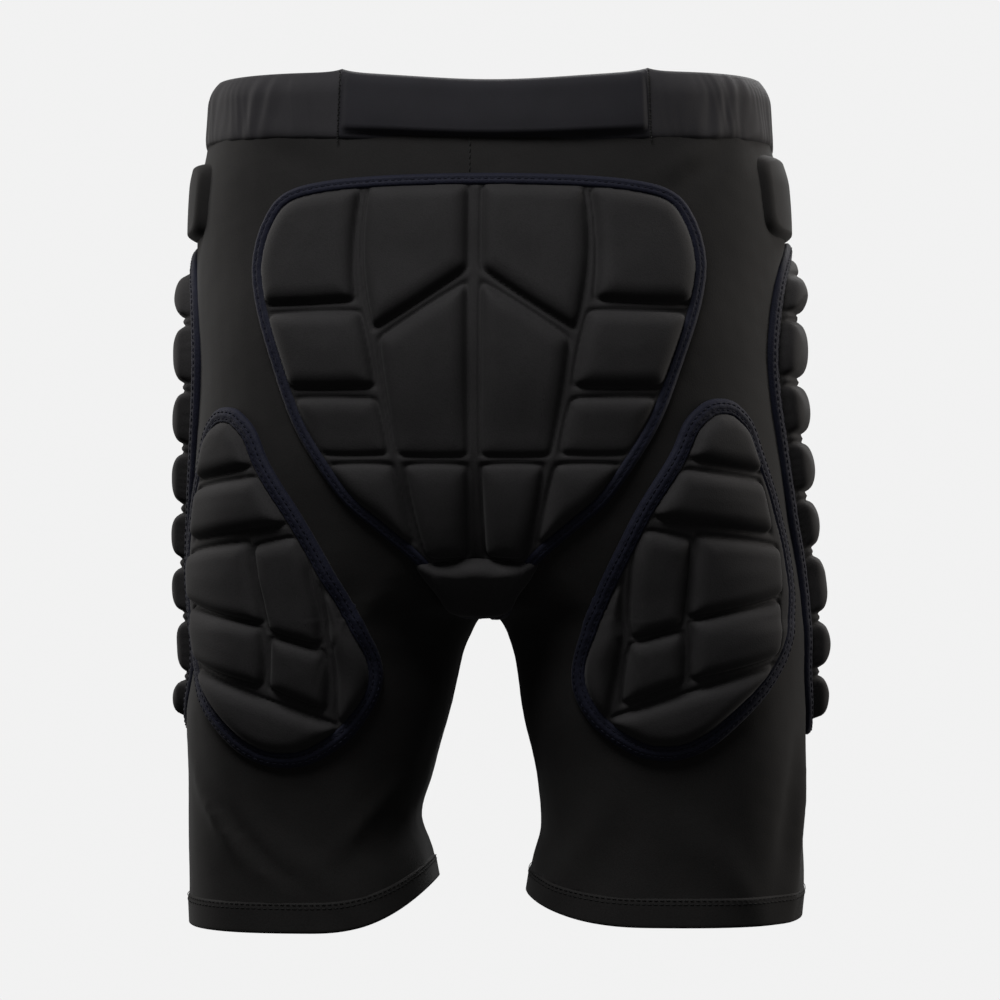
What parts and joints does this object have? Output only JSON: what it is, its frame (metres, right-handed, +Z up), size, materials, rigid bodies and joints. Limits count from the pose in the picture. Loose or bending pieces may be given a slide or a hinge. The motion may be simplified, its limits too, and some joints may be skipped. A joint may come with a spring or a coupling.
{
  "type": "padded impact shorts (hip, seat and thigh pad)",
  "caption": "Black stretch-fabric impact shorts with raised foam cell pads over the seat, hips and thighs, edged with navy binding, shown as worn.",
  "frame": {"origin": "middle of the waist opening, level with the waistband's top rim: the mount waist", "axes": "+Z up along the standing wearer, +Y towards the wearer's front, +X towards the wearer's right"},
  "size_m": [0.3777, 0.2457, 0.474],
  "materials": {
    "shell_fabric": "matte",
    "band_fabric": "matte",
    "pad_fabric": "matte",
    "navy_binding": "satin"
  },
  "bodies": {
    "root": {"body_left": "shell_fabric", "body_right": "shell_fabric", "waistband_elastic": "band_fabric", "waistband_back_panel": "band_fabric", "seat_pad": "pad_fabric", "seat_pad_binding": "navy_binding", "thigh_pad_left": "pad_fabric", "thigh_pad_left_binding": "navy_binding", "thigh_pad_right": "pad_fabric", "thigh_pad_right_binding": "navy_binding", "side_pad_left": "pad_fabric", "side_pad_left_binding": "navy_binding", "side_pad_right": "pad_fabric", "side_pad_right_binding": "navy_binding", "hip_bone_pad_left": "shell_fabric", "hip_bone_pad_right": "shell_fabric"}
  },
  "joints": []
}
